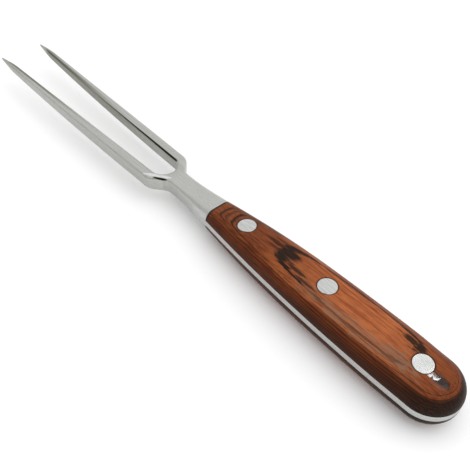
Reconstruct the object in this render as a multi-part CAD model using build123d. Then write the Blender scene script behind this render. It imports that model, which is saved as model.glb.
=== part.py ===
from build123d import *
import os

# Two-tined carving fork with a riveted wooden handle.
# Frame, mm: +X runs from the butt to the tine tips, +Y is to the left of that, +Z is up.
# The origin is under the middle of the fork, on the surface that it lies on.

# ---- driving sizes ----
overall_length = 280.0      # butt to tine tips
handle_length = 119.0       # wood, from the bolster to the butt
handle_thickness = 18.2     # over both scales, at the flat land
tang_thickness = 2.6        # steel showing between the two scales
joint_width = 14.0          # handle and bolster where wood meets steel
joint_thickness = 11.2
belly_width = 24.6          # widest place of the handle
belly_distance = 92.0       # from the joint back to the widest place
butt_width = 24.2           # diameter of the round butt
butt_thickness = 17.0
land_share = 0.35           # part of the width that is level on each face
land_start = 50.0           # the flat land begins this far behind the joint
land_cut = 0.05             # ground off the crown of each face to make its land flat
joint_slope = 0.12          # how fast half the width shrinks through the joint
joint_drop = 0.11           # the same for half the thickness

neck_length = 22.0          # joint to the start of the crotch
neck_width = 9.4
neck_thickness = 7.2
crotch_length = 16.0        # start of the crotch to the straight tines
knuckle_radius = 6.0        # outside bend from each arm into its tine
armpit_radius = 5.0         # hollow between the neck and each arm
steel_edge_radius = 1.2     # softened edges of the neck and tine roots

tine_root_width = 4.9
tine_root_depth = 6.4
tine_root_offset = 8.6      # centre of a tine from the fork's middle, at its root
tine_tip_offset = 11.3
tine_tip_size = 0.6         # blunt end of a sharpened tine
tine_root_lift = 0.5        # centre of the tine above the middle of the tang
tine_tip_lift = 2.6
point_length = 14.0         # sharpened end of a tine

rivet_distances = {"front": 17.2, "middle": 59.8, "rear": 102.4}
rivet_head_diameter = 7.7
rivet_head_depth = 2.4
rivet_tube_diameter = 4.6
rivet_pin_diameter = 3.0
fit_gap = 0.02              # radial gap of a rivet in its seat

# ---- sizes worked out from those ----
joint_x = handle_length - overall_length / 2
tip_x = overall_length / 2
lay_height = handle_thickness / 2
crown_height = lay_height + land_cut
half_tang = tang_thickness / 2
butt_radius = butt_width / 2
butt_centre_distance = handle_length - butt_radius
crotch_x = joint_x + neck_length
tine_root_x = crotch_x + crotch_length
tine_length = tip_x - tine_root_x


def blend(x, start, end):
    """Cubic between two stations, each given as (place, value, slope)."""
    x0, v0, s0 = start
    x1, v1, s1 = end
    span = x1 - x0
    t = (x - x0) / span
    rise = t * t * (3 - 2 * t)
    lead = t * (1 - t) ** 2
    trail = t * t * (t - 1)
    return v0 * (1 - rise) + v1 * rise + span * (s0 * lead + s1 * trail)


def handle_half_width(distance):
    """Half the handle's width, this far behind the joint."""
    belly = (belly_distance, belly_width / 2, 0)
    if distance < belly_distance:
        return blend(distance, (0, joint_width / 2, joint_slope), belly)
    return blend(distance, belly, (butt_centre_distance, butt_radius, 0))


def handle_half_height(distance):
    """Half the handle's thickness before its land is ground, this far behind the joint."""
    if distance < land_start:
        return blend(distance, (0, joint_thickness / 2, joint_drop), (land_start, crown_height, 0))
    if distance < belly_distance:
        return crown_height
    return blend(distance, (belly_distance, crown_height, 0), (butt_centre_distance, butt_thickness / 2, 0))


def neck_half_width(distance):
    """Half the neck's width, this far in front of the joint."""
    return blend(distance, (0, joint_width / 2, -joint_slope), (neck_length, neck_width / 2, -joint_slope / 2))


def neck_half_height(distance):
    """Half the neck's thickness, this far in front of the joint."""
    return blend(distance, (0, joint_thickness / 2, -joint_drop), (neck_length, neck_thickness / 2, -joint_drop / 3))


def scale_section(distance):
    """Upper scale's outline across the handle: level crown, elliptic shoulders, flat back on the tang."""
    half_width = handle_half_width(distance)
    height = handle_half_height(distance) - half_tang
    land = land_share * half_width
    shoulder = half_width - land
    plane = Plane.YZ.offset(joint_x - distance)
    with BuildSketch(plane) as section:
        with BuildLine():
            Line((-half_width, half_tang), (half_width, half_tang))
            EllipticalCenterArc((land, half_tang), shoulder, height, start_angle=0, arc_size=90)
            Line((land, half_tang + height), (-land, half_tang + height))
            EllipticalCenterArc((-land, half_tang), shoulder, height, start_angle=90, arc_size=90)
        make_face()
    return section.sketch


def tang_section(distance):
    """Tang's rectangle across the handle."""
    plane = Plane.YZ.offset(joint_x - distance)
    return plane * Rectangle(2 * handle_half_width(distance), tang_thickness)


def handle_stations():
    """Places along the handle that its lofts run through."""
    steps = 8
    return [butt_centre_distance * step / steps for step in range(steps + 1)]


def butt_scale():
    """Round end of the upper scale, turned about an upright axis."""
    height = handle_half_height(butt_centre_distance) - half_tang
    land = land_share * butt_radius
    centre_x = joint_x - butt_centre_distance
    with BuildSketch(Plane.YZ.offset(centre_x)) as half:
        with BuildLine():
            Line((0, half_tang), (butt_radius, half_tang))
            EllipticalCenterArc((land, half_tang), butt_radius - land, height, start_angle=0, arc_size=90)
            Line((land, half_tang + height), (0, half_tang + height))
            Line((0, half_tang + height), (0, half_tang))
        make_face()
    return revolve(half.sketch, axis=Axis((centre_x, 0, 0), (0, 0, 1)), revolution_arc=180)


def plain_scale():
    """Upper scale with its land ground flat, before its rivet holes are drilled."""
    body = loft([scale_section(distance) for distance in handle_stations()])
    below_land = Pos(0, 0, lay_height / 2) * Box(2 * overall_length, 2 * belly_width, lay_height)
    return (body + butt_scale()) & below_land


def rivet_place(distance):
    return Location((joint_x - distance, 0, 0))


def bar(radius, bottom, top):
    """Round bar along Z between two heights."""
    return Pos(0, 0, (bottom + top) / 2) * Cylinder(radius, top - bottom)


def seat_height(distance):
    """Height of the step that a rivet head sits on, above the middle of the tang."""
    return handle_half_height(distance) - rivet_head_depth


def drilled_scale(blank):
    """Upper scale with a hole and a head seat for each rivet."""
    scale = blank
    for distance in rivet_distances.values():
        hole = bar(rivet_tube_diameter / 2 + fit_gap, 0, handle_thickness)
        seat = bar(rivet_head_diameter / 2 + fit_gap, seat_height(distance), handle_thickness)
        scale = scale - rivet_place(distance) * (hole + seat)
    return scale


def rounded_section(x, half_width, half_height, side_radius, edge_radius, centre=(0, 0)):
    """Rectangle across X with elliptic corners, side_radius wide and edge_radius high."""
    y, z = centre
    flat = half_width - side_radius
    wall = half_height - edge_radius
    with BuildSketch(Plane.YZ.offset(x)) as section:
        with BuildLine():
            Line((y + half_width, z - wall), (y + half_width, z + wall))
            EllipticalCenterArc((y + flat, z + wall), side_radius, edge_radius, start_angle=0, arc_size=90)
            Line((y + flat, z + half_height), (y - flat, z + half_height))
            EllipticalCenterArc((y - flat, z + wall), side_radius, edge_radius, start_angle=90, arc_size=90)
            Line((y - half_width, z + wall), (y - half_width, z - wall))
            EllipticalCenterArc((y - flat, z - wall), side_radius, edge_radius, start_angle=180, arc_size=90)
            Line((y - flat, z - half_height), (y + flat, z - half_height))
            EllipticalCenterArc((y + flat, z - wall), side_radius, edge_radius, start_angle=270, arc_size=90)
        make_face()
    return section.sketch


def neck_section(distance):
    """Bolster section at the joint, turning into the softened bar of the neck."""
    half_width = neck_half_width(distance)
    half_height = neck_half_height(distance)
    share = distance / neck_length
    side_radius = (1 - share) * (1 - land_share) * joint_width / 2 + share * steel_edge_radius
    edge_radius = (1 - share) * (joint_thickness / 2 - half_tang) + share * steel_edge_radius
    return rounded_section(joint_x + distance, half_width, half_height, side_radius, edge_radius)


def neck():
    """Bolster and neck, flush with the handle at the joint."""
    steps = 4
    return loft([neck_section(neck_length * step / steps) for step in range(steps + 1)])


def crotch():
    """The U where the neck parts into two arms, with its edges softened."""
    half_neck = neck_width / 2
    outer = tine_root_offset + tine_root_width / 2
    inner = tine_root_offset - tine_root_width / 2
    armpit = (crotch_x + 0.35 * crotch_length, half_neck)
    knuckle = (crotch_x + 0.75 * crotch_length, outer)
    arc_x = tine_root_x - 0.8
    with BuildSketch() as plan:
        with BuildLine():
            FilletPolyline((crotch_x, half_neck), armpit, knuckle, (tine_root_x, outer),
                           radius=(armpit_radius, knuckle_radius))
            Line((tine_root_x, outer), (tine_root_x, inner))
            Line((tine_root_x, inner), (arc_x, inner))
            CenterArc((arc_x, 0), inner, start_angle=90, arc_size=90)
            Line((arc_x - inner, 0), (crotch_x, 0))
            Line((crotch_x, 0), (crotch_x, half_neck))
        make_face()
        mirror(about=Plane.XZ)
    slab = extrude(plan.sketch, neck_thickness, both=True)
    half_neck_height = neck_thickness / 2
    root_top = tine_root_lift + tine_root_depth / 2
    root_bottom = tine_root_lift - tine_root_depth / 2
    level = (1, 0)
    with BuildSketch(Plane.XZ) as side:
        with BuildLine():
            Line((crotch_x, half_neck_height), (crotch_x, -half_neck_height))
            Spline((crotch_x, -half_neck_height), (tine_root_x, root_bottom), tangents=(level, level))
            Line((tine_root_x, root_bottom), (tine_root_x, root_top))
            Spline((crotch_x, half_neck_height), (tine_root_x, root_top), tangents=(level, level))
        make_face()
    head = slab & extrude(side.sketch, belly_width, both=True)

    def is_long_edge(edge):
        box = edge.bounding_box()
        upright = box.size.Z > tine_root_depth / 2
        in_end_face = box.size.X < 0.01 and not upright
        return not upright and not in_end_face

    return fillet(head.edges().filter_by(is_long_edge), steel_edge_radius)


def tine(side):
    """One tine from the crotch to its sharpened tip; side is +1 or -1."""
    sections = []
    point_start = 1 - point_length / tine_length
    for share in (0, 0.2, 0.4, 0.6, 0.8, point_start, 1):
        taper = 1 - 0.55 * share ** 1.7
        half_width = taper * tine_root_width / 2
        half_depth = taper * tine_root_depth / 2
        if share == 1:
            half_width = tine_tip_size / 2
            half_depth = tine_tip_size / 2
        y = side * (tine_root_offset + (tine_tip_offset - tine_root_offset) * share)
        z = tine_root_lift + (tine_tip_lift - tine_root_lift) * share ** 2.5
        radius = steel_edge_radius * half_width / (tine_root_width / 2)
        x = tine_root_x + tine_length * share
        sections.append(rounded_section(x, half_width, half_depth, radius, radius, (y, z)))
    return loft(sections)


def fork_blank():
    """The forging: tang, bolster, neck, crotch and both tines in one piece."""
    tang = loft([tang_section(distance) for distance in handle_stations()])
    tang_end = Pos(joint_x - butt_centre_distance, 0, 0) * Cylinder(butt_radius, tang_thickness)
    blank = tang + tang_end + neck() + crotch() + tine(1) + tine(-1)
    for distance in rivet_distances.values():
        hole = bar(rivet_tube_diameter / 2 + fit_gap, -handle_thickness, handle_thickness)
        blank = blank - rivet_place(distance) * hole
    return blank


def socket_half(distance, blank):
    """Upper half of a rivet: a head ground flush with the scale, on a tube."""
    floor = seat_height(distance)
    place = rivet_place(distance)
    head = (place * bar(rivet_head_diameter / 2, floor, handle_thickness)) & blank
    tube = bar(rivet_tube_diameter / 2, 0.3 - floor, floor)
    bore = bar(rivet_pin_diameter / 2, -handle_thickness, floor - 0.2)
    return head + place * (tube - bore)


def pin_half(distance, blank):
    """Lower half of a rivet: a head ground flush with the scale, on the pin that fills the tube."""
    floor = seat_height(distance)
    place = rivet_place(distance)
    head = (place * bar(rivet_head_diameter / 2, -handle_thickness, -floor)) & mirror(blank, about=Plane.XY)
    pin = bar(rivet_pin_diameter / 2 - fit_gap, -floor, floor - 0.6)
    return head + place * pin


def lay_down(shape):
    """Raise the model so that the handle's lower land is at height zero."""
    return Pos(0, 0, lay_height) * shape


blank_scale = plain_scale()
upper_scale = drilled_scale(blank_scale)
nodes = {
    "fork_blank": fork_blank(),
    "upper_scale": upper_scale,
    "lower_scale": mirror(upper_scale, about=Plane.XY),
}
for name, distance in rivet_distances.items():
    nodes[f"{name}_rivet_socket"] = socket_half(distance, blank_scale)
    nodes[f"{name}_rivet_pin"] = pin_half(distance, blank_scale)

os.makedirs("parts", exist_ok=True)
for name, shape in nodes.items():
    export_step(lay_down(shape), f"parts/{name}.step")
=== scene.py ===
import math
from collections import namedtuple

import bmesh
import bpy
from mathutils import Matrix, Vector


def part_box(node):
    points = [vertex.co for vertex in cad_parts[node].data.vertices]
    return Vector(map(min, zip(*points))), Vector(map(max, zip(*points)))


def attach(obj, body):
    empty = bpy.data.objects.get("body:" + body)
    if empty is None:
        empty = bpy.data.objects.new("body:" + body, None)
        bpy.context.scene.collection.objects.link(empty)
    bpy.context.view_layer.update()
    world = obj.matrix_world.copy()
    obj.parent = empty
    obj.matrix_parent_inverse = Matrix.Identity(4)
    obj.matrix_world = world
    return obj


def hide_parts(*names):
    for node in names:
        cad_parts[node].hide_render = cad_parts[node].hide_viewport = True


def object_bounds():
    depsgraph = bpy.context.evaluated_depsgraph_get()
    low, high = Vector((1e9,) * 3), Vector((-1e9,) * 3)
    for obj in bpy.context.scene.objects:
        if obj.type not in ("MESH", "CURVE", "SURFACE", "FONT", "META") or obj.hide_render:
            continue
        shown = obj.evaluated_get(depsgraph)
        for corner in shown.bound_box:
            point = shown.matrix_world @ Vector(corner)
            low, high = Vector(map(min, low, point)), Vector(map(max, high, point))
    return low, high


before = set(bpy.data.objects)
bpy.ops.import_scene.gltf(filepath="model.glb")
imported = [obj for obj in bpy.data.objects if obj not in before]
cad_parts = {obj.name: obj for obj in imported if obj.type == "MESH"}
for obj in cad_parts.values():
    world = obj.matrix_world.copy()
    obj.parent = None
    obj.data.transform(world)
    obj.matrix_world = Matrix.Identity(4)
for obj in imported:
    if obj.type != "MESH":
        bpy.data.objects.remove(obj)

bl_info = {
    "name": "Carving fork",
    "version": (1, 0, 0),
    "blender": (4, 5, 0),
    "location": "View3D > Sidebar > Carving fork",
    "description": "Builds a forged two-tined carving fork with a riveted laminated wood handle",
    "category": "Add Mesh",
}

# The fork lies along X: butt at -X, tine tips at +X, +Y to the left of the tines, +Z up.
mm = 0.001
body = "root"

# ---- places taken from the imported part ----
cad_low, cad_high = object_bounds()
wood_low, wood_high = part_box("upper_scale")
under_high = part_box("lower_scale")[1]
joint_x = wood_high.x
butt_x = wood_low.x
tip_x = cad_high.x
middle_z = (wood_low.z + under_high.z) / 2
half_tang = (wood_low.z - under_high.z) / 2
land_height = cad_high.z - middle_z
handle_length = joint_x - butt_x
belly_half_width = wood_high.y
rivet_names = ("front", "middle", "rear")
rivet_x = {}
for rivet_name in rivet_names:
    rivet_low, rivet_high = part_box(f"{rivet_name}_rivet_socket")
    rivet_x[rivet_name] = (rivet_low.x + rivet_high.x) / 2

# ---- mesh fineness ----
corner_steps = 8
flat_steps = 4
handle_steps = 48
shoulder_steps = 14
butt_steps = 16
neck_steps = 14
crotch_steps = 8
arm_steps = 16
tine_steps = 20
point_steps = 8
head_rings = 4
turn_steps = 64
bend_steps = 16
merge_distance = 1e-6
sharp_angle = math.radians(38)

# ---- run of the steel, as shares ----
# A tine loses taper_loss of its root's thickness, most of it late, and lifts later still.
taper_loss = 0.55
taper_power = 1.7
lift_power = 2.5
point_fullness = 1.25
# Where an arm's outer edge turns along the crotch; round_lead is in edge radii.
armpit_share = 0.35
knuckle_share = 0.75
round_lead = 1.3

# ---- fits inside a rivet ----
tube_gap = 0.3 * mm
bore_roof = 0.2 * mm
pin_gap = 0.6 * mm
pin_clearance = 0.02 * mm
cut_height = land_height * 1.5


def length(name, description, value):
    """A size a user may change, given in millimetres."""
    return bpy.props.FloatProperty(
        name=name, description=description, default=value * mm, min=0, unit="LENGTH", precision=5)


def colour(name, description, value):
    """A colour a user may change."""
    return bpy.props.FloatVectorProperty(
        name=name, description=description, default=value, size=3, min=0, max=1, subtype="COLOR")


class HandleSizes(bpy.types.PropertyGroup):
    joint_width: length("Joint width", "Handle across the joint with the bolster", 14.0)
    joint_thickness: length("Joint thickness", "Handle thickness at the joint", 11.2)
    joint_slope: bpy.props.FloatProperty(
        name="Joint slope", description="How fast half the width grows behind the joint", default=0.12)
    joint_drop: bpy.props.FloatProperty(
        name="Joint drop", description="How fast half the thickness grows behind the joint", default=0.11)
    belly_distance: length("Belly distance", "From the joint back to the widest place", 92.0)
    butt_width: length("Butt width", "Diameter of the round butt", 24.2)
    butt_thickness: length("Butt thickness", "Handle thickness at the butt", 17.0)
    land_share: bpy.props.FloatProperty(
        name="Land share", description="Part of the width that is level on each face",
        default=0.35, min=0, max=1, subtype="FACTOR")
    land_start: length("Land start", "The flat land begins this far behind the joint", 50.0)
    land_cut: length("Land cut", "Ground off the crown to make the land flat", 0.05)
    seam_edge: length("Seam edge", "Softening of the wood's edges along the steel", 0.14)


class SteelSizes(bpy.types.PropertyGroup):
    neck_length: length("Neck length", "From the joint to the start of the crotch", 22.0)
    neck_width: length("Neck width", "Neck at its slimmest", 9.4)
    neck_thickness: length("Neck thickness", "Neck at its slimmest", 7.2)
    crotch_length: length("Crotch length", "From the neck's end to the straight tines", 16.0)
    knuckle_radius: length("Knuckle radius", "Outside bend from an arm into its tine", 6.0)
    armpit_radius: length("Armpit radius", "Hollow between the neck and an arm", 5.0)
    edge_radius: length("Edge radius", "Softened edges of the neck and the tines", 1.2)
    gap_end: length("Gap end", "Straight run between the round of the gap and the tine roots", 0.8)
    tine_width: length("Tine width", "Tine across at its root", 4.9)
    tine_depth: length("Tine depth", "Tine from top to bottom at its root", 6.4)
    root_offset: length("Root offset", "Tine centre from the fork's middle, at the root", 8.6)
    tip_offset: length("Tip offset", "Tine centre from the fork's middle, at the tip", 11.3)
    root_lift: length("Root lift", "Tine centre above the tang's middle, at the root", 0.5)
    tip_lift: length("Tip lift", "Tine centre above the tang's middle, at the tip", 2.6)
    tip_size: length("Tip size", "Blunt end of a sharpened tine", 0.6)
    point_length: length("Point length", "Sharpened end of a tine", 14.0)


class RivetSizes(bpy.types.PropertyGroup):
    head_diameter: length("Head diameter", "Rivet head", 7.7)
    head_depth: length("Head depth", "Depth of the seat that a head sits in", 2.4)
    head_edge: length("Head edge", "Small chamfer round a head", 0.16)
    head_proud: length("Head proud", "A polished head stands this far above the wood", 0.03)
    tube_diameter: length("Tube diameter", "Outside of the socket's tube", 4.6)
    pin_diameter: length("Pin diameter", "Pin that fills the tube", 3.0)
    seat_gap: length("Seat gap", "Radial gap of a head in its seat", 0.05)


class Finishes(bpy.types.PropertyGroup):
    wood_light: colour("Light veneer", "Orange brown veneer of the top", (0.43, 0.128, 0.042))
    wood_red: colour("Red veneer", "Red brown veneer under it", (0.155, 0.034, 0.007))
    # The dark veneer is also the colour of the painted shade down the flank and in the gaps at the joint
    # and round the rivets.
    wood_dark: colour("Dark veneer", "Nearly black veneer and glue lines", (0.008, 0.005, 0.003))
    wood_grey: colour("Grey streak", "Weathered grey brown streaks", (0.185, 0.117, 0.078))
    steel: colour("Forged steel", "Satin ground stainless steel", (0.52, 0.52, 0.507))
    rivet: colour("Rivet steel", "Polished rivet heads", (0.56, 0.565, 0.555))
    floor: colour("Floor", "Plain pale floor", (0.95, 0.95, 0.95))


# ---- the fork's own curves ----
def blend(x, start, end):
    """Cubic between two stations, each given as (place, value, slope)."""
    x0, v0, s0 = start
    x1, v1, s1 = end
    span = x1 - x0
    t = (x - x0) / span
    rise = t * t * (3 - 2 * t)
    lead = t * (1 - t) ** 2
    trail = t * t * (t - 1)
    return v0 * (1 - rise) + v1 * rise + span * (s0 * lead + s1 * trail)


def butt_centre(sizes):
    """Centre of the round butt, this far behind the joint."""
    return handle_length - sizes.butt_width / 2


def handle_half_width(sizes, distance):
    """Half the handle's width, this far behind the joint."""
    belly = (sizes.belly_distance, belly_half_width, 0)
    if distance < sizes.belly_distance:
        return blend(distance, (0, sizes.joint_width / 2, sizes.joint_slope), belly)
    return blend(distance, belly, (butt_centre(sizes), sizes.butt_width / 2, 0))


def handle_half_height(sizes, distance):
    """Half the handle's thickness before its land is ground, this far behind the joint."""
    crown = land_height + sizes.land_cut
    if distance < sizes.land_start:
        start = (0, sizes.joint_thickness / 2, sizes.joint_drop)
        return blend(distance, start, (sizes.land_start, crown, 0))
    if distance < sizes.belly_distance:
        return crown
    belly = (sizes.belly_distance, crown, 0)
    return blend(distance, belly, (butt_centre(sizes), sizes.butt_thickness / 2, 0))


def top_height(sizes, x, y):
    """Height of the upper scale's face above the middle of the tang."""
    distance = max(joint_x - x, 0)
    centre = butt_centre(sizes)
    across = abs(y)
    if distance > centre:
        across = math.hypot(distance - centre, y)
        distance = centre
    half_width = handle_half_width(sizes, distance)
    rise = handle_half_height(sizes, distance) - half_tang
    land = sizes.land_share * half_width
    lean = min(max((across - land) / (half_width - land), 0), 1)
    return min(half_tang + rise * math.sqrt(1 - lean * lean), land_height)


# ---- mesh helpers ----
def sweep(bm, stations, place, count, closed):
    """Extrude a chain of points through the stations; place(station, number) puts each point."""
    number = bm.verts.layers.int.new("number")
    chain = [bm.verts.new(place(stations[0], n)) for n in range(count)]
    for n, vert in enumerate(chain):
        vert[number] = n
    links = list(zip(chain, chain[1:]))
    if closed:
        links.append((chain[-1], chain[0]))
    first = [bm.edges.new(pair) for pair in links]
    edges = first
    for station in stations[1:]:
        grown = bmesh.ops.extrude_edge_only(bm, edges=edges)["geom"]
        fresh = {part for part in grown if isinstance(part, bmesh.types.BMVert)}
        grown_edges = [part for part in grown if isinstance(part, bmesh.types.BMEdge)]
        edges = [edge for edge in grown_edges if fresh.issuperset(edge.verts)]
        for vert in fresh:
            vert.co = place(station, vert[number])
    return first, edges


def turn_butt(bm, edges, centre_x):
    """Turn a half section a quarter turn about the butt's upright axis."""
    ends = list(dict.fromkeys(vert for edge in edges for vert in edge.verts))
    bmesh.ops.spin(
        bm, geom=ends + edges, cent=(centre_x, 0, middle_z), axis=(0, 0, 1), angle=math.pi / 2,
        steps=butt_steps)


def on_middle(part):
    """Whether an edge or a face lies on the fork's middle plane."""
    return all(abs(vert.co.y) < merge_distance for vert in part.verts)


def double_up(bm):
    """Mirror the half with +Y to the other side and join the two."""
    bmesh.ops.remove_doubles(bm, verts=bm.verts, dist=merge_distance)
    whole = [*bm.verts, *bm.edges, *bm.faces]
    bmesh.ops.mirror(bm, geom=whole, matrix=Matrix.Identity(4), merge_dist=merge_distance, axis="Y")


def shade_edges(bm):
    """Mark each edge sharp or smooth by the angle between its faces."""
    for edge in bm.edges:
        edge.smooth = edge.calc_face_angle(0) < sharp_angle


def new_object(bm, name):
    """A new object in the scene, made from a finished mesh."""
    mesh = bpy.data.meshes.new(name)
    bm.to_mesh(mesh)
    bm.free()
    made = bpy.data.objects.new(name, mesh)
    bpy.context.scene.collection.objects.link(made)
    return made


def finish_mesh(bm, name, node, material):
    """Close and orient the mesh, and put it in the scene in place of its CAD node."""
    bmesh.ops.remove_doubles(bm, verts=bm.verts, dist=merge_distance)
    bmesh.ops.dissolve_degenerate(bm, dist=merge_distance / 2, edges=bm.edges)
    bmesh.ops.recalc_face_normals(bm, faces=bm.faces)
    for face in bm.faces:
        face.smooth = True
    shade_edges(bm)
    piece = new_object(bm, name)
    piece.data.materials.append(material)
    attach(piece, body)
    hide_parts(node)
    return piece


def from_seam(edge, run, steps):
    """Places along a run that starts with a chamfer of this edge, each as (distance, inset)."""
    return [(0, edge)] + [(edge + (run - edge) * step / steps, 0) for step in range(steps + 1)]


# ---- handle scales ----
def scale_mesh(sizes, side):
    """Half a scale, swept back, turned round the butt and mirrored; side is +1 up, -1 down."""
    flats = flat_steps // 2
    count = flats + 1 + shoulder_steps + 2
    edge = sizes.seam_edge

    def place(station, number):
        distance, inset = station
        half_width = handle_half_width(sizes, distance)
        rise = handle_half_height(sizes, distance) - half_tang
        land = sizes.land_share * half_width
        if number <= flats:
            y = land * number / flats
            z = half_tang + rise
        elif number <= flats + shoulder_steps:
            lean = math.pi / 2 * (number - flats) / shoulder_steps
            y = land + (half_width - land) * math.sin(lean)
            z = half_tang + max(rise * math.cos(lean), edge)
        else:
            y = half_width - edge if number == flats + shoulder_steps + 1 else 0
            z = half_tang
        shrink = 1 - inset / half_width
        z = half_tang + (min(z, land_height) - half_tang) * shrink
        return Vector((joint_x - distance, y * shrink, middle_z + side * z))

    centre = butt_centre(sizes)
    bm = bmesh.new()
    _, last = sweep(bm, from_seam(edge, centre, handle_steps), place, count, closed=False)
    turn_butt(bm, last, joint_x - centre)
    double_up(bm)
    rim = [e for e in bm.edges if e.is_boundary]
    front = [e for e in rim if all(v.co.x > joint_x - merge_distance for v in e.verts)]
    bmesh.ops.contextual_create(bm, geom=front)
    return bm


def seat_mesh(sizes, rivets, name, side):
    """What is drilled away for one rivet: a head seat and a hole through the scale."""
    distance = joint_x - rivet_x[name]
    floor = handle_half_height(sizes, distance) - rivets.head_depth
    seat = rivets.head_diameter / 2 + rivets.seat_gap
    hole = rivets.tube_diameter / 2 + rivets.seat_gap
    profile = [(0, cut_height), (seat, cut_height), (seat, floor), (hole, floor), (hole, 0), (0, 0)]
    return turned(profile, rivet_x[name], side)


def turned(profile, x, side):
    """Turn a profile of (radius, height) about an upright axis at this x; side is +1 up, -1 down."""
    bm = bmesh.new()
    chain = [bm.verts.new((x + radius, 0, middle_z + side * height)) for radius, height in profile]
    edges = [bm.edges.new(pair) for pair in zip(chain, chain[1:])]
    bmesh.ops.spin(
        bm, geom=chain + edges, cent=(x, 0, 0), axis=(0, 0, 1), angle=2 * math.pi, steps=turn_steps,
        use_merge=True)
    bmesh.ops.remove_doubles(bm, verts=bm.verts, dist=merge_distance)
    bmesh.ops.recalc_face_normals(bm, faces=bm.faces)
    return bm


def drill(piece, cutters):
    """Cut the cutters' shapes out of the piece for good."""
    for cutter in cutters:
        cut = piece.modifiers.new("Drill", "BOOLEAN")
        cut.operation = "DIFFERENCE"
        cut.solver = "EXACT"
        cut.object = cutter
    graph = bpy.context.evaluated_depsgraph_get()
    drilled = bpy.data.meshes.new_from_object(piece.evaluated_get(graph), depsgraph=graph)
    piece.modifiers.clear()
    spare = piece.data
    drilled.name = piece.name
    piece.data = drilled
    bpy.data.meshes.remove(spare)
    for cutter in cutters:
        bpy.data.objects.remove(cutter)
    bm = bmesh.new()
    bm.from_mesh(drilled)
    shade_edges(bm)
    bm.to_mesh(drilled)
    bm.free()


# ---- forged blank ----
def tine_run(steel):
    """Where a tine's root is, how long the tine is, and the share of it behind the point."""
    root_x = joint_x + steel.neck_length + steel.crotch_length
    run = tip_x - root_x
    return root_x, run, 1 - steel.point_length / run


def ring_plan():
    """One closed half section: each point as (rail, corner angle, side), rail 0 inner to 1 outer."""
    quarter = [math.pi / 2 * step / corner_steps for step in range(corner_steps + 1)]
    flats = [step / flat_steps for step in range(1, flat_steps)]
    plan = [(0, angle, 1) for angle in quarter]
    plan += [(rail, math.pi / 2, 1) for rail in flats]
    plan += [(1, angle, 1) for angle in reversed(quarter)]
    plan += [(1, 0, 0)]
    plan += [(1, angle, -1) for angle in quarter]
    plan += [(rail, math.pi / 2, -1) for rail in reversed(flats)]
    plan += [(0, angle, -1) for angle in reversed(quarter)]
    plan += [(0, 0, 0)]
    return plan


# A place along the half fork: its rails in plan, its heights and its corner radii.
Station = namedtuple(
    "Station", "inner outer heights inner_normal outer_normal inner_radius side_radius edge_radius",
    defaults=((0, 1), (0, -1), 0, 0, 0))


def place_on(plan):
    """The function that puts a numbered point of a half section in its place."""

    def place(here, number):
        rail, angle, side = plan[number]
        rounding = 1 - math.cos(angle)
        on_inner = Vector(here.inner) + Vector(here.inner_normal) * here.inner_radius * rounding
        on_outer = Vector(here.outer) + Vector(here.outer_normal) * here.side_radius * rounding
        spot = on_inner.lerp(on_outer, rail)
        centre, half_height = here.heights(spot.x)
        rise = half_height - here.edge_radius * (1 - math.sin(angle))
        return Vector((spot.x, spot.y, middle_z + centre + side * rise))

    return place


def tang_stations(handle, edge):
    """The tang, from the butt's centre to the joint."""
    for step in range(handle_steps + 1):
        distance = butt_centre(handle) * (1 - step / handle_steps)
        x = joint_x - distance
        yield Station(
            (x, 0), (x, handle_half_width(handle, distance)), lambda x: (0, half_tang),
            side_radius=edge, edge_radius=edge)


def neck_stations(handle, steel, edge):
    """Bolster and neck: from the handle's section at the joint to the softened bar."""
    joint_half = (handle.joint_width / 2, handle.joint_thickness / 2)
    neck_half = (steel.neck_width / 2, steel.neck_thickness / 2)
    run = steel.neck_length

    def heights(x):
        drop = handle.joint_drop
        return 0, blend(x - joint_x, (0, joint_half[1], -drop), (run, neck_half[1], -drop / 3))

    for ahead, inset in from_seam(edge, run, neck_steps):
        share = ahead / run
        slope = handle.joint_slope
        half_width = blend(ahead, (0, joint_half[0], -slope), (run, neck_half[0], -slope / 2))
        side_radius = (1 - share) * (1 - handle.land_share) * joint_half[0] + share * steel.edge_radius
        edge_radius = (1 - share) * (joint_half[1] - half_tang) + share * steel.edge_radius
        x = joint_x + ahead
        level = heights(x)[1] - inset
        yield Station(
            (x, 0), (x, half_width - inset), lambda x, level=level: (0, level),
            side_radius=side_radius, edge_radius=edge_radius - inset)


def rounded_path(corners, radii):
    """Points along a path whose inner corners are rounded."""
    points = [Vector(corners[0])]
    for before, corner, after, radius in zip(corners, corners[1:], corners[2:], radii):
        corner = Vector(corner)
        back = (Vector(before) - corner).normalized()
        ahead = (Vector(after) - corner).normalized()
        half_turn = back.angle(ahead) / 2
        reach = radius / math.tan(half_turn)
        centre = corner + (back + ahead).normalized() * radius / math.sin(half_turn)
        start = corner + back * reach - centre
        end = corner + ahead * reach - centre
        swing = start.angle_signed(end)
        for step in range(bend_steps + 1):
            turn = Matrix.Rotation(-swing * step / bend_steps, 2)
            points.append(centre + turn @ start)
    points.append(Vector(corners[-1]))
    return points


def along(points, share):
    """The point this share of the way along a path, and the direction there."""
    lengths = [(b - a).length for a, b in zip(points, points[1:])]
    left = share * sum(lengths)
    for a, b, run in zip(points, points[1:], lengths):
        if left <= run or b is points[-1]:
            return a.lerp(b, min(left / run, 1)), (b - a).normalized()
        left -= run


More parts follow.
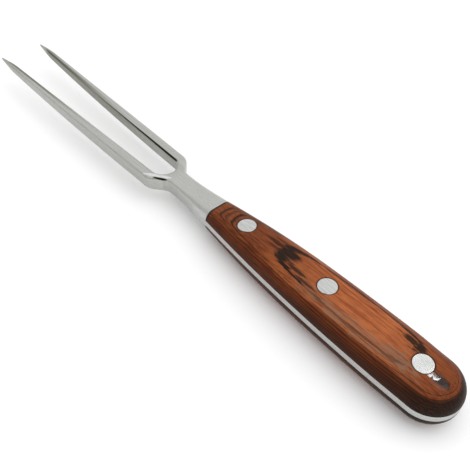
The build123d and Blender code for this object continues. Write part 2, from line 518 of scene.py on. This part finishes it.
def crotch_stations(steel):
    """The U where the neck parts: the outer edge bends out, the inner follows the gap's round."""
    crotch_x = joint_x + steel.neck_length
    root_x = tine_run(steel)[0]
    outer_y = steel.root_offset + steel.tine_width / 2
    inner_y = steel.root_offset - steel.tine_width / 2
    half_neck = steel.neck_width / 2
    armpit = (crotch_x + armpit_share * steel.crotch_length, half_neck)
    knuckle = (crotch_x + knuckle_share * steel.crotch_length, outer_y)
    corners = [(crotch_x, half_neck), armpit, knuckle, (root_x, outer_y)]
    outer = rounded_path(corners, [steel.armpit_radius, steel.knuckle_radius])
    round_x = root_x - steel.gap_end
    straight = round_x - inner_y - crotch_x
    arc = inner_y * math.pi / 2
    whole = straight + arc + steel.gap_end
    radius = steel.edge_radius

    def face(x, side):
        at_root = steel.root_lift + side * steel.tine_depth / 2
        return blend(x, (crotch_x, side * steel.neck_thickness / 2, 0), (root_x, at_root, 0))

    def heights(x):
        top, under = face(x, 1), face(x, -1)
        return (top + under) / 2, (top - under) / 2

    def outer_at(travelled):
        point, direction = along(outer, travelled / whole)
        return point, (direction.y, -direction.x)

    before_round = straight - radius * round_lead
    for step in range(1, crotch_steps + 1):
        travelled = before_round * step / crotch_steps
        point, normal = outer_at(travelled)
        yield Station(
            (crotch_x + travelled, 0), point, heights, outer_normal=normal,
            side_radius=radius, edge_radius=radius)
    for step in range(arm_steps + 1):
        angle = math.pi / 2 * step / arm_steps
        normal_in = (-math.cos(angle), math.sin(angle))
        point, normal = outer_at(straight + inner_y * angle)
        yield Station(
            (round_x + inner_y * normal_in[0], inner_y * normal_in[1]), point, heights, normal_in, normal,
            radius, radius, radius)


def tine_taper(steel, share, tip_share):
    """How thick the tine is against its root, at this share of its length."""
    point_share = tine_run(steel)[2]
    if share <= point_share:
        return 1 - taper_loss * share ** taper_power
    left = 1 - taper_loss * point_share ** taper_power
    slope = -taper_loss * taper_power * point_share ** (taper_power - 1)
    fall = (tip_share - left) / (1 - point_share)
    return blend(share, (point_share, left, slope), (1, tip_share, fall * point_fullness))


def tine_stations(steel):
    """One tine, from its root to its sharpened tip."""
    root_x, run, point_share = tine_run(steel)
    shares = [point_share * step / tine_steps for step in range(tine_steps + 1)]
    shares += [point_share + (1 - point_share) * step / point_steps for step in range(1, point_steps + 1)]
    for share in shares:
        half_width = tine_taper(steel, share, steel.tip_size / steel.tine_width) * steel.tine_width / 2
        half_depth = tine_taper(steel, share, steel.tip_size / steel.tine_depth) * steel.tine_depth / 2
        y = steel.root_offset + (steel.tip_offset - steel.root_offset) * share
        lift = steel.root_lift + (steel.tip_lift - steel.root_lift) * share ** lift_power
        radius = steel.edge_radius * half_width / (steel.tine_width / 2)
        x = root_x + run * share
        yield Station(
            (x, y - half_width), (x, y + half_width), lambda x, lift=lift, half=half_depth: (lift, half),
            inner_radius=radius, side_radius=radius, edge_radius=radius)


def blank_mesh(handle, steel):
    """Half of the forging swept from the butt to a tine's tip, then mirrored."""
    edge = handle.seam_edge
    stations = [
        *tang_stations(handle, edge), *neck_stations(handle, steel, edge), *crotch_stations(steel),
        *tine_stations(steel)]
    plan = ring_plan()
    bm = bmesh.new()
    first, last = sweep(bm, stations, place_on(plan), len(plan), closed=True)
    bmesh.ops.contextual_create(bm, geom=last)
    turn_butt(bm, [edge for edge in first if not on_middle(edge)], joint_x - butt_centre(handle))
    bmesh.ops.remove_doubles(bm, verts=bm.verts, dist=merge_distance)
    bmesh.ops.delete(bm, geom=[face for face in bm.faces if on_middle(face)], context="FACES")
    double_up(bm)
    return bm


# ---- rivets ----
def rivet_mesh(handle, rivets, name, half):
    """One half of a rivet, turned, with its face ground to the handle's own curve."""
    floor = handle_half_height(handle, joint_x - rivet_x[name]) - rivets.head_depth
    radius = rivets.head_diameter / 2
    flat = radius - rivets.head_edge
    head = [(flat * ring / head_rings, cut_height) for ring in range(head_rings + 1)]
    head.append((radius, cut_height - rivets.head_edge))
    tube = rivets.tube_diameter / 2
    pin = rivets.pin_diameter / 2
    if half == "socket":
        side = 1
        foot = tube_gap - floor
        roof = floor - bore_roof
        shank = [(radius, floor), (tube, floor), (tube, foot), (pin, foot), (pin, roof), (0, roof)]
    else:
        side = -1
        end = pin_gap - floor
        shank = [(radius, floor), (pin - pin_clearance, floor), (pin - pin_clearance, end), (0, end)]
    bm = turned(head + shank, rivet_x[name], side)
    for vert in bm.verts:
        drop = cut_height - side * (vert.co.z - middle_z)
        if drop <= rivets.head_edge + merge_distance:
            ground = top_height(handle, vert.co.x, vert.co.y) + rivets.head_proud
            vert.co.z = middle_z + side * (ground - drop)
    return bm


# ---- materials, in millimetres: back from the joint, across, and up from the tang ----
# Slow clouds in the grinding, and the painted dark reflection line on a tine's inner top edge.
cloud_scale = 0.16
line_side = 0.87
line_rise = 0.89

# The flank from the tang to the crown, and the plies: their pitch, a glue line and their arch.
flank_foot = 1.3
crown_rise = 7.8
ply_pitch = 0.8
glue_height = 6.93
arch_centre = 72.0
arch_reach = 27.0
arch_rise = 0.28
black_ply_height = 8.88
# Arcs where the crown cuts the plies behind the joint, as (height, strength).
front_arcs = ((6.84, 0.9), (6.61, 0.5), (6.38, 0.8))

# Colour along the handle, as (place, share): red to light on the crown, red to dark on the flank, the dark
# partly painted shade.
colour_length = 120.0
crown_shades = ((0.0, 0.25), (0.25, 0.2), (0.33, 0.5), (0.45, 0.7), (0.56, 1.0), (0.72, 1.0),
                (0.80, 0.7), (0.89, 0.25), (1.0, 0.05))
flank_shades = ((0.0, 0.0), (0.3, 0.0), (0.7, 0.12), (0.82, 0.4), (0.9, 0.85), (1.0, 0.95))

# Patches of figure, each as (centre, reach, strength).
red_flank = ((80, -8.8, 8), (30, 1.9, 4), 0.75)
grey_streaks = (
    ((77, 6.6, 9), (24, 2.2, 2.5), 0.85),
    ((95, 5.2, 9), (6.5, 2.6, 3), 0.95),
    ((56, 5.2, 9), (6, 1.3, 3), 0.6),
)
black_zones = (
    ((43, 0.5, 9), (13, 9, 4), 0.97),
    ((96, -5, 9), (7, 3, 4), 0.95),
    ((110.5, 1, 8), (4.5, 1.7, 4), 0.97),
    ((76, -7, 9), (26, 2.2, 4), 0.9),
    ((76, 7, 9), (24, 2.2, 4), 0.55),
)
black_fingers = (
    ((32.5, -1.8, 9), (6, 0.8, 4), 0.8),
    ((33.5, 0.6, 9), (4, 0.6, 4), 0.65),
    ((34, -3.8, 9), (4, 0.6, 4), 0.6),
    ((40.5, -0.8, 9), (4.2, 2.2, 4), 0.95),
    ((47, 3.2, 9), (5, 0.9, 4), 0.85),
    ((53, 5.2, 9), (5.5, 0.7, 4), 0.8),
    ((94, -4.4, 9), (3.2, 1.2, 4), 0.9),
    ((110, 0.8, 8), (3.6, 0.9, 4), 0.95),
)
lacquer_pool = ((109.6, 1.6, 8.5), (3.4, 2.4, 2), 0.5)


def add(tree, kind, inputs=None, **settings):
    """A new node with its settings made and its inputs set or linked."""
    made = tree.nodes.new(kind)
    for name, value in settings.items():
        setattr(made, name, value)
    for key, value in (inputs or {}).items():
        if isinstance(value, bpy.types.NodeSocket):
            tree.links.new(value, made.inputs[key])
        else:
            made.inputs[key].default_value = value
    return made


def maths(tree, operation, first, *others, clamp=False):
    """Arithmetic on two values or, one after another, on several."""
    result = first
    for other in others or (0.0,):
        inputs = {0: result, 1: other}
        result = add(tree, "ShaderNodeMath", inputs, operation=operation, use_clamp=clamp).outputs[0]
    return result


def total(tree, *values):
    """The sum of several values."""
    return maths(tree, "ADD", *values)


def product(tree, *values):
    """Several values multiplied together."""
    return maths(tree, "MULTIPLY", *values)


def largest(tree, *values):
    """The largest of several values."""
    return maths(tree, "MAXIMUM", *values)


def vector_maths(tree, operation, first, second=(0, 0, 0)):
    """One step of arithmetic on vectors; returns the outputs, a vector and a value."""
    return add(tree, "ShaderNodeVectorMath", {0: first, 1: second}, operation=operation).outputs


def fade(tree, value, low, high, start=0.0, end=1.0):
    """Goes smoothly from start to end as the value goes from low to high."""
    inputs = {0: value, 1: low, 2: high, 3: start, 4: end}
    return add(tree, "ShaderNodeMapRange", inputs, interpolation_type="SMOOTHSTEP").outputs[0]


def fades(tree, *runs):
    """Several fades multiplied together."""
    return product(tree, *(fade(tree, *run) for run in runs))


def stretch(tree, vector, scale, offset=(0, 0, 0)):
    """The same place with each axis scaled and moved."""
    inputs = {"Vector": vector, "Scale": scale, "Location": offset}
    return add(tree, "ShaderNodeMapping", inputs).outputs[0]


def noise(tree, vector, scale, detail, roughness=0.5):
    """Soft noise from 0 to 1."""
    inputs = {"Vector": vector, "Scale": scale, "Detail": detail, "Roughness": roughness}
    return add(tree, "ShaderNodeTexNoise", inputs).outputs[0]


def streaks(tree, place, scale, detail, roughness=0.5, offset=(0, 0, 0)):
    """Soft noise drawn out along the grain."""
    return noise(tree, stretch(tree, place, scale, offset), 1.0, detail, roughness)


def mix(tree, share, first, second, blend_type="MIX"):
    """Mixes two colours."""
    made = add(tree, "ShaderNodeMix", {0: share}, data_type="RGBA", blend_type=blend_type)
    for socket, value in ((made.inputs[6], first), (made.inputs[7], second)):
        if isinstance(value, bpy.types.NodeSocket):
            tree.links.new(value, socket)
        else:
            socket.default_value = (*value, 1)
    return made.outputs[2]


def new_material(name):
    """An empty material; returns the material, its nodes and its shader."""
    material = bpy.data.materials.new(name)
    material.use_nodes = True
    tree = material.node_tree
    return material, tree, tree.nodes["Principled BSDF"]


def place_in_mm(tree):
    """The point's place in millimetres: back from the joint, across and up."""
    spot = add(tree, "ShaderNodeTexCoord").outputs["Object"]
    return stretch(tree, spot, (-1 / mm, 1 / mm, 1 / mm), (joint_x / mm, 0, -middle_z / mm))


def grinding_group():
    """Fine grinding lines along the fork, with slow changes in how deep they are."""
    name = "Grinding lines"
    if name in bpy.data.node_groups:
        return bpy.data.node_groups[name]
    tree = bpy.data.node_groups.new(name, "ShaderNodeTree")
    sockets = (("Place", "INPUT", "Vector"), ("Along", "INPUT", "Float"), ("Across", "INPUT", "Float"),
               ("Lines", "OUTPUT", "Float"), ("Cloud", "OUTPUT", "Float"))
    for socket, way, kind in sockets:
        tree.interface.new_socket(socket, in_out=way, socket_type=f"NodeSocket{kind}")
    entry = add(tree, "NodeGroupInput").outputs
    leave = add(tree, "NodeGroupOutput").inputs
    scale = add(tree, "ShaderNodeCombineXYZ", {0: entry["Along"], 1: entry["Across"], 2: entry["Across"]})
    fine = vector_maths(tree, "MULTIPLY", entry["Place"], scale.outputs[0])[0]
    tree.links.new(noise(tree, fine, 1.0, 3.0, 0.6), leave["Lines"])
    tree.links.new(noise(tree, entry["Place"], cloud_scale, 2.0), leave["Cloud"])
    return tree


def ground_steel(name, shade, roughness, along_scale, across_scale, tone_change, bump):
    """Ground stainless steel: a metal whose tone and gloss follow fine lines."""
    material, tree, shader = new_material(name)
    inputs = {"Place": place_in_mm(tree), "Along": along_scale, "Across": across_scale}
    group = add(tree, "ShaderNodeGroup", inputs, node_tree=grinding_group())
    lines, cloud = group.outputs["Lines"], group.outputs["Cloud"]
    dark = tuple(value * (1 - tone_change) for value in shade)
    streak = mix(tree, fade(tree, lines, 0.3, 0.7), dark, tuple(shade))
    cloudy = mix(tree, fade(tree, cloud, 0.3, 0.7, 0.0, 0.5), streak, (1.0, 1.0, 1.0), "MULTIPLY")
    tree.links.new(cloudy, shader.inputs["Base Color"])
    rough = total(tree, fade(tree, lines, 0.2, 0.8, roughness - 0.05, roughness + 0.05),
                  fade(tree, cloud, 0.3, 0.7, -0.02, 0.04))
    tree.links.new(rough, shader.inputs["Roughness"])
    shader.inputs["Metallic"].default_value = 1.0
    relief = add(tree, "ShaderNodeBump", {"Strength": bump, "Distance": 0.05 * mm, "Height": lines})
    tree.links.new(relief.outputs[0], shader.inputs["Normal"])
    return material


def stroke(tree, place, start, end, width):
    """A narrow mark along a straight run: 1 on it, 0 beside it."""
    run = Vector(end) - Vector(start)
    from_start = stretch(tree, place, (1, 1, 1), tuple(-value for value in start))
    along_run = vector_maths(tree, "DOT_PRODUCT", from_start, run / run.length_squared)["Value"]
    share = maths(tree, "ADD", along_run, 0.0, clamp=True)
    nearest = add(tree, "ShaderNodeVectorMath", {0: run, "Scale": share}, operation="SCALE").outputs[0]
    off = vector_maths(tree, "DISTANCE", from_start, nearest)["Value"]
    ends = fades(tree, (share, 0.0, 0.3, 0.4, 1.0), (share, 1.0, 0.8, 0.5, 1.0))
    return fade(tree, maths(tree, "DIVIDE", off, product(tree, ends, width)), 1.1, 0.5)


def on_tine(tree, steel, axes):
    """Where a point is on a tine: its share of the length, and side and rise from -1 to 1."""
    root_x, run, _ = tine_run(steel)
    from_root = total(tree, product(tree, axes[0], -1.0), (joint_x - root_x) / mm)
    share = maths(tree, "DIVIDE", from_root, run / mm)
    held = largest(tree, share, 0.0)
    size = total(tree, product(tree, maths(tree, "POWER", held, taper_power), -taper_loss), 1.0)
    spread = product(tree, share, (steel.tip_offset - steel.root_offset) / mm)
    middle = total(tree, spread, steel.root_offset / mm)
    climb = product(tree, maths(tree, "POWER", held, lift_power), (steel.tip_lift - steel.root_lift) / mm)
    lift = total(tree, climb, steel.root_lift / mm)
    out = maths(tree, "SUBTRACT", maths(tree, "ABSOLUTE", axes[1]), middle)
    up = maths(tree, "SUBTRACT", axes[2], lift)
    side = maths(tree, "DIVIDE", out, product(tree, size, steel.tine_width / 2 / mm))
    rise = maths(tree, "DIVIDE", up, product(tree, size, steel.tine_depth / 2 / mm))
    return share, side, rise


def painted_steel_light(tree, steel, place):
    """Painted light on the forging: a dark reflection line on each tine's inner top edge, painted shade on
    the tines, and a painted highlight and dark reflection stroke across the left arm.
    """
    axes = add(tree, "ShaderNodeSeparateXYZ", {0: place}).outputs
    share, side, rise = on_tine(tree, steel, axes)

    # A painted dark reflection line on the inner top edge, fading out towards the tip.
    inward = product(tree, total(tree, side, line_side), steel.tine_width / 2 / mm)
    below = product(tree, total(tree, rise, -line_rise), steel.tine_depth / 2 / mm)
    off = maths(tree, "SQRT", total(tree, product(tree, inward, inward), product(tree, below, below)))
    reach = fade(tree, share, -0.02, 0.5, 1.25, 0.4)
    near = maths(tree, "DIVIDE", off, reach)
    line = product(tree, fades(tree, (near, 0.55, 0.22), (share, 0.80, 0.30), (share, -0.03, -0.015)), 0.97)

    # Painted shade: the inner faces, then the inner half of the top, darken towards the tip, and the steel
    # darkens past the neck and near the tips.
    inner = fades(tree, (side, -0.80, -0.93), (share, 0.05, 0.45, 0.12, 0.42))
    upper = fades(tree, (rise, 0.70, 0.85), (side, 0.3, -0.5), (share, 0.25, 0.80, 0.0, 0.72))
    unshaded = maths(tree, "SUBTRACT", 1.0, largest(tree, inner, upper, line))
    painted_tip_shade = fades(tree, (axes[0], -24.0, -36.0, 1.0, 0.84), (share, 0.7, 1.0, 1.0, 0.72))
    painted_light = product(tree, unshaded, painted_tip_shade)

    # A painted highlight and a painted dark reflection stroke across the left arm.
    painted_highlight = stroke(tree, place, (-37.5, 10.2, 3.5), (-28.0, 3.2, 3.5), 1.15)
    dark_reflection_stroke = stroke(tree, place, (-34.0, 9.2, 3.3), (-28.2, 5.0, 3.3), 0.68)
    painted_light = total(tree, painted_light, product(tree, painted_highlight, 0.45))
    return product(tree, painted_light, total(tree, product(tree, dark_reflection_stroke, -0.97), 1.0))


def forged_steel(finishes, steel):
    """Satin steel for the forging, with painted light: dark reflection lines, painted shade and a painted
    highlight.
    """
    material = ground_steel("Satin forged steel", finishes.steel, 0.27, 0.05, 3.0, 0.10, 0.10)
    tree = material.node_tree
    base = tree.nodes["Principled BSDF"].inputs["Base Color"]
    painted_light = painted_steel_light(tree, steel, place_in_mm(tree))
    warmer = maths(tree, "POWER", painted_light, 1.15)
    grey = add(tree, "ShaderNodeCombineXYZ", {0: painted_light, 1: painted_light, 2: warmer}).outputs[0]
    # The ground steel's colour is multiplied by the painted light, a little warmer where it is shaded.
    tree.links.new(mix(tree, 1.0, base.links[0].from_socket, grey, "MULTIPLY"), base)
    return material


def patch(tree, place, centre, reach, strength, ragged):
    """A ragged patch round a place: its strength inside, 0 outside."""
    scale = tuple(1 / size for size in reach)
    offset = tuple(-spot / size for spot, size in zip(centre, reach))
    far = vector_maths(tree, "LENGTH", stretch(tree, place, scale, offset))["Value"]
    return product(tree, fade(tree, total(tree, far, ragged), 1.25, 0.75), strength)


def patches(tree, place, rows, ragged):
    """The strongest of several ragged patches, each given as (centre, reach, strength)."""
    return largest(tree, *(patch(tree, place, *row, ragged) for row in rows))


def colour_run(tree, share, stops):
    """A colour that changes along a run; stops are (place from 0 to 1, colour)."""
    ramp = add(tree, "ShaderNodeValToRGB", {0: share})
    run = ramp.color_ramp
    while len(run.elements) > 1:
        run.elements.remove(run.elements[0])
    run.elements[0].position, run.elements[0].color = stops[0][0], (*stops[0][1], 1)
    for place, shade in stops[1:]:
        run.elements.new(place).color = (*shade, 1)
    return ramp.outputs[0]


def wood_levels(tree, back, height, slow, ragged):
    """The plies' arch, the height in their stack, and the way up the flank from tang to crown."""
    arch = maths(tree, "DIVIDE", total(tree, back, -arch_centre), arch_reach)
    arch = largest(tree, total(tree, product(tree, arch, arch, -arch_rise), arch_rise), 0.0)
    tip = product(tree, total(tree, maths(tree, "MINIMUM", back, 36.0), -12.5), -0.035)
    stack = total(tree, height, arch, tip, product(tree, slow, 0.6), product(tree, ragged, 0.12))

    # The crown is lower near the joint and at the butt.
    ahead = largest(tree, total(tree, product(tree, back, -1 / 47.0), 1.0), 0.0)
    behind = fade(tree, back, 92.0, 107.0, 0.0, 0.6)
    crown = maths(tree, "SUBTRACT", total(tree, product(tree, ahead, ahead, -3.5), crown_rise), behind)
    level = maths(tree, "DIVIDE", total(tree, height, -flank_foot), crown)
    waist = product(tree, fades(tree, (back, 26.0, 36.0), (back, 66.0, 50.0)), 0.10)
    level = total(tree, level, waist, product(tree, slow, 0.10), product(tree, ragged, 0.06))
    return arch, stack, level


def veneer_and_flank_shade(tree, back, level, light, red, dark):
    """Orange on the crown, red brown down the flank, and dark at the tang and the butt: partly the plies'
    own colour, partly painted shade.
    """
    run = maths(tree, "DIVIDE", back, colour_length)
    top = colour_run(tree, run, [(spot, red.lerp(light, share)) for spot, share in crown_shades])
    side = colour_run(tree, run, [(spot, red.lerp(dark, share)) for spot, share in flank_shades])
    sided = mix(tree, fade(tree, level, 0.86, 0.72), top, side)
    # Painted shade, partly the dark plies: darker down the flank towards the tang.
    return mix(tree, fades(tree, (level, 0.70, 0.25), (back, 15.0, 60.0, 0.35, 0.62)), sided, dark)


def glue_lines(tree, back, height, stack, level, broad):
    """Glue between the veneers: thin on the crown, broader where it is cut square."""
    inside = maths(tree, "PINGPONG", total(tree, stack, ply_pitch * 20 - glue_height), ply_pitch / 2)
    breadth = fade(tree, level, 0.90, 0.55, 0.07, 0.19)
    line = fade(tree, maths(tree, "DIVIDE", inside, breadth), 1.0, 0.35)
    shoulder = fades(tree, (back, 42.0, 60.0, 0.0, 0.85), (height, 8.62, 8.40))
    strength = largest(tree, fade(tree, stack, 7.0, 7.4, 1.0, 0.12), shoulder)
    strength = product(tree, strength, fade(tree, broad, 0.30, 0.62, 0.6, 1.0))
    line = product(tree, line, strength, fade(tree, level, 0.96, 0.88))
    arcs = []
    for arc_height, share in front_arcs:
        off = maths(tree, "ABSOLUTE", total(tree, stack, -arc_height))
        arcs.append(product(tree, fade(tree, off, 0.085, 0.02), share))
    near_joint = fades(tree, (level, 0.80, 0.90), (back, 34.0, 24.0))
    return largest(tree, line, product(tree, largest(tree, *arcs), near_joint))


def black_ply(tree, place, back, height, arch, slow, ragged, fibre, fray):
    """One nearly black ply: the crown cuts it in a ragged V, and it rings the land as a thin line."""
    dip = fade(tree, back, 100.0, 108.0, 0.0, 0.40)
    waves = total(tree, product(tree, ragged, 0.65), product(tree, slow, 0.15))
    off = maths(tree, "ABSOLUTE", total(tree, height, arch, dip, waves, -black_ply_height))
    ply = product(tree, fade(tree, off, 0.21, 0.09), patches(tree, place, black_zones, fray))
    black = largest(tree, ply, patches(tree, place, black_fingers, fray))
    return product(tree, black, fades(tree, (ragged, 0.20, 0.06, 0.6, 1.0), (fibre, 0.75, 0.55, 0.75, 1.0)))


def gap_shade_and_stain(tree, place, back):
    """Dark lines along the joint and round each rivet: painted shade in the narrow gaps, partly a stain in
    the wood.
    """
    flat = stretch(tree, place, (1, 1, 0))
    lines = [fade(tree, back, 1.4, 0.6, 0.0, 0.9)]
    for rivet in rivet_names:
        centre = ((rivet_x[rivet] - joint_x) / mm, 0, 0)
        far = vector_maths(tree, "LENGTH", vector_maths(tree, "ADD", flat, centre)[0])["Value"]
        lines.append(fade(tree, far, 4.45, 3.95, 0.0, 0.8))
    return largest(tree, *lines)


def laminated_wood(finishes):
    """Lacquered laminated veneer: plies by height, cut through by the handle's curves."""
    material, tree, shader = new_material("Laminated wood")
    place = place_in_mm(tree)
    axes = add(tree, "ShaderNodeSeparateXYZ", {0: place}).outputs
    back = axes[0]
    height = maths(tree, "ABSOLUTE", axes[2])
    light, red, dark, grey = (Vector(shade) for shade in (
        finishes.wood_light, finishes.wood_red, finishes.wood_dark, finishes.wood_grey))

    # Grain of several widths, from slow waves to single fibres.
    slow = total(tree, streaks(tree, place, (0.028, 0.10, 0.08), 2.0), -0.5)
    ragged = total(tree, streaks(tree, place, (0.15, 1.7, 1.2), 4.0, 0.7), -0.5)
    fibre = streaks(tree, place, (0.16, 3.4, 3.4), 3.0, 0.75)
    broad = streaks(tree, place, (0.035, 0.9, 0.9), 3.0, 0.6)
    fray = total(tree, product(tree, ragged, 2.6), product(tree, total(tree, fibre, -0.5), 1.5))

    arch, stack, level = wood_levels(tree, back, height, slow, ragged)
    veneer_and_shade = veneer_and_flank_shade(tree, back, level, light, red, dark)
    lined = mix(tree, glue_lines(tree, back, height, stack, level, broad), veneer_and_shade, dark)

    # Fibres: fine streaks, and broader ones that carry colour.
    streaked = mix(tree, fade(tree, fibre, 0.42, 0.72, 0.0, 0.55), lined, dark)
    combed = mix(tree, fade(tree, ragged, -0.02, 0.20, 0.0, 0.8), streaked, (0.62, 0.42, 0.36), "MULTIPLY")
    banded = mix(tree, fade(tree, broad, 0.50, 0.66, 0.0, 0.8), combed, (0.62, 0.48, 0.42), "MULTIPLY")
    busy = fade(tree, streaks(tree, place, (0.06, 1.5, 1.5), 4.0, 0.7, (7, 3, 1)), 0.50, 0.58)
    edge = fades(tree, (level, 0.99, 0.93), (back, 66.0, 40.0, 0.35, 0.9))
    lively = mix(tree, product(tree, busy, edge), banded, red.lerp(dark, 0.6))

    # Figure: a red far flank, grey streaks on the shoulder and the black ply.
    warm = mix(tree, patch(tree, place, *red_flank, product(tree, ragged, 2.0)), lively, red)
    greys = product(tree, patches(tree, place, grey_streaks, fray), fade(tree, fibre, 0.60, 0.38))
    greyed = mix(tree, greys, warm, grey)
    black = black_ply(tree, place, back, height, arch, slow, ragged, fibre, fray)
    wood = mix(tree, black, greyed, dark)
    # Painted shade, partly stain, along the joint and round the rivets.
    gap_shaded = mix(tree, gap_shade_and_stain(tree, place, back), wood, dark)
    tree.links.new(gap_shaded, shader.inputs["Base Color"])
    tree.links.new(fade(tree, fibre, 0.3, 0.7, 0.36, 0.50), shader.inputs["Roughness"])
    shader.inputs["Specular IOR Level"].default_value = 0.08

    # The lacquer is rubbed thin, and stands thick and glossy only behind the rear rivet.
    pool = patch(tree, place, *lacquer_pool, product(tree, ragged, 0.8))
    tree.links.new(largest(tree, pool, 0.01), shader.inputs["Coat Weight"])
    shader.inputs["Coat Roughness"].default_value = 0.03
    relief = add(tree, "ShaderNodeBump", {"Strength": 0.25, "Distance": 0.04 * mm, "Height": fibre})
    tree.links.new(relief.outputs[0], shader.inputs["Normal"])
    return material


# ---- stage, in metres ----
floor_reach = 3.0
corner_heading = (0.40, 0.78, 0.48)
flag_heading = (-0.29, 0.64, 0.71)
# Lamps as (name, place, target, size, power).
lamps = (
    ("overhead", (-0.45, -0.25, 0.95), (0, 0, 0), 1.0, 2.5),
    ("glint", (0.028, -0.570, 0.8175), (-0.13, 0, 0.017), 0.018, 0.045),
)
camera_target = (-0.03395, 0.002205, 0.0091)
camera_heading = (-0.50224, 0.49058, 0.71210)
camera_distance = 0.26404
camera_roll = math.radians(3.362)
camera_lens = 50.06


# ---- operators ----
class FORK_OT_blank(bpy.types.Operator):
    """Make the forged blank: tang, bolster, neck, crotch and both tines"""
    bl_idname = "carving_fork.blank"
    bl_label = "Forged blank"

    def execute(self, context):
        scene = context.scene
        steel = forged_steel(scene.fork_finishes, scene.fork_steel)
        bm = blank_mesh(scene.fork_handle, scene.fork_steel)
        finish_mesh(bm, "forged_blank", "fork_blank", steel)
        return {"FINISHED"}


class FORK_OT_scales(bpy.types.Operator):
    """Make the two handle scales of laminated wood and drill them for the rivets"""
    bl_idname = "carving_fork.scales"
    bl_label = "Handle scales"

    def execute(self, context):
        scene = context.scene
        handle, rivets = scene.fork_handle, scene.fork_rivets
        wood = laminated_wood(scene.fork_finishes)
        scales = (("wood_scale_top", "upper_scale", 1), ("wood_scale_under", "lower_scale", -1))
        for name, node, side in scales:
            piece = finish_mesh(scale_mesh(handle, side), name, node, wood)
            seats = (seat_mesh(handle, rivets, rivet, side) for rivet in rivet_names)
            drill(piece, [new_object(seat, "seat") for seat in seats])
        return {"FINISHED"}


class FORK_OT_rivets(bpy.types.Operator):
    """Make the three two-part rivets: a socket above and a pin below"""
    bl_idname = "carving_fork.rivets"
    bl_label = "Rivets"

    def execute(self, context):
        scene = context.scene
        shade = tuple(scene.fork_finishes.rivet)
        steel = ground_steel("Polished rivet steel", shade, 0.24, 0.12, 1.6, 0.18, 0.15)
        for rivet in rivet_names:
            for half in ("socket", "pin"):
                bm = rivet_mesh(scene.fork_handle, scene.fork_rivets, rivet, half)
                finish_mesh(bm, f"{rivet}_cutlers_{half}", f"{rivet}_rivet_{half}", steel)
        return {"FINISHED"}


class FORK_OT_stage(bpy.types.Operator):
    """Make the floor, the soft studio light and the camera"""
    bl_idname = "carving_fork.stage"
    bl_label = "Stage"

    def execute(self, context):
        scene = context.scene
        bm = bmesh.new()
        bmesh.ops.create_grid(bm, x_segments=1, y_segments=1, size=floor_reach)
        floor = new_object(bm, "floor")
        material, _, shader = new_material("Pale floor")
        shader.inputs["Base Color"].default_value = (*scene.fork_finishes.floor, 1)
        shader.inputs["Roughness"].default_value = 0.9
        shader.inputs["Specular IOR Level"].default_value = 0.1
        floor.data.materials.append(material)
        make_room(scene)
        make_lamps()
        make_camera(scene)
        scene.view_settings.view_transform = "Standard"
        return {"FINISHED"}


def aimed(name, data, spot, target, roll=0.0):
    """A new lamp or camera at a spot, turned to face the target."""
    made = bpy.data.objects.new(name, data)
    bpy.context.scene.collection.objects.link(made)
    turn = (target - spot).to_track_quat("-Z", "Y").to_matrix().to_4x4()
    made.matrix_world = Matrix.Translation(spot) @ turn @ Matrix.Rotation(roll, 4, "Z")
    return made


def make_room(scene):
    """A white room with a softly darker corner, and a small black flag with a bright ring."""
    world = bpy.data.worlds.new("Studio")
    world.use_nodes = True
    scene.world = world
    tree = world.node_tree
    way = add(tree, "ShaderNodeTexCoord").outputs["Generated"]
    to_corner, to_flag = (
        vector_maths(tree, "DOT_PRODUCT", way, Vector(heading).normalized())["Value"]
        for heading in (corner_heading, flag_heading))
    room = fade(tree, to_corner, 0.75, 0.98, 1.1, 0.75)
    ring = fade(tree, to_flag, 0.88, 0.95, 0.0, 0.25)
    flag = fade(tree, to_flag, 0.985, 0.955)
    back = tree.nodes["Background"]
    tree.links.new(product(tree, total(tree, room, ring), flag), back.inputs["Strength"])
    back.inputs["Color"].default_value = (1, 1, 1, 1)


def make_lamps():
    """A broad lamp overhead, and a small one that glints in the lacquer behind the rear rivet."""
    for name, spot, target, size, power in lamps:
        data = bpy.data.lights.new(name, "AREA")
        data.size = size
        data.energy = power
        aimed(name, data, Vector(spot), Vector(target))


def make_camera(scene):
    """A camera close to the fork, looking down on it from behind the butt's left side."""
    data = bpy.data.cameras.new("camera")
    data.lens = camera_lens
    data.clip_start = 10 * mm
    target = Vector(camera_target)
    spot = target + Vector(camera_heading).normalized() * camera_distance
    scene.camera = aimed("camera", data, spot, target, camera_roll)


class FORK_PT_panel(bpy.types.Panel):
    """Lists the fork's pieces and its stage"""
    bl_label = "Carving fork"
    bl_idname = "FORK_PT_panel"
    bl_space_type = "VIEW_3D"
    bl_region_type = "UI"
    bl_category = "Carving fork"

    def draw(self, context):
        layout = self.layout
        for operator in makers:
            layout.operator(operator.bl_idname)
        for group in ("fork_handle", "fork_steel", "fork_rivets", "fork_finishes"):
            settings = getattr(context.scene, group)
            box = layout.box()
            for name in settings.__annotations__:
                box.prop(settings, name)


makers = (FORK_OT_blank, FORK_OT_scales, FORK_OT_rivets, FORK_OT_stage)
groups = {
    "fork_handle": HandleSizes,
    "fork_steel": SteelSizes,
    "fork_rivets": RivetSizes,
    "fork_finishes": Finishes,
}


def register():
    for kind in (*groups.values(), *makers, FORK_PT_panel):
        bpy.utils.register_class(kind)
    for name, kind in groups.items():
        setattr(bpy.types.Scene, name, bpy.props.PointerProperty(type=kind))


def unregister():
    for name in groups:
        delattr(bpy.types.Scene, name)
    for kind in (FORK_PT_panel, *makers, *groups.values()):
        bpy.utils.unregister_class(kind)


def main():
    register()
    bpy.ops.carving_fork.blank()
    bpy.ops.carving_fork.scales()
    bpy.ops.carving_fork.rivets()
    bpy.ops.carving_fork.stage()


if __name__ == "__main__":
    main()
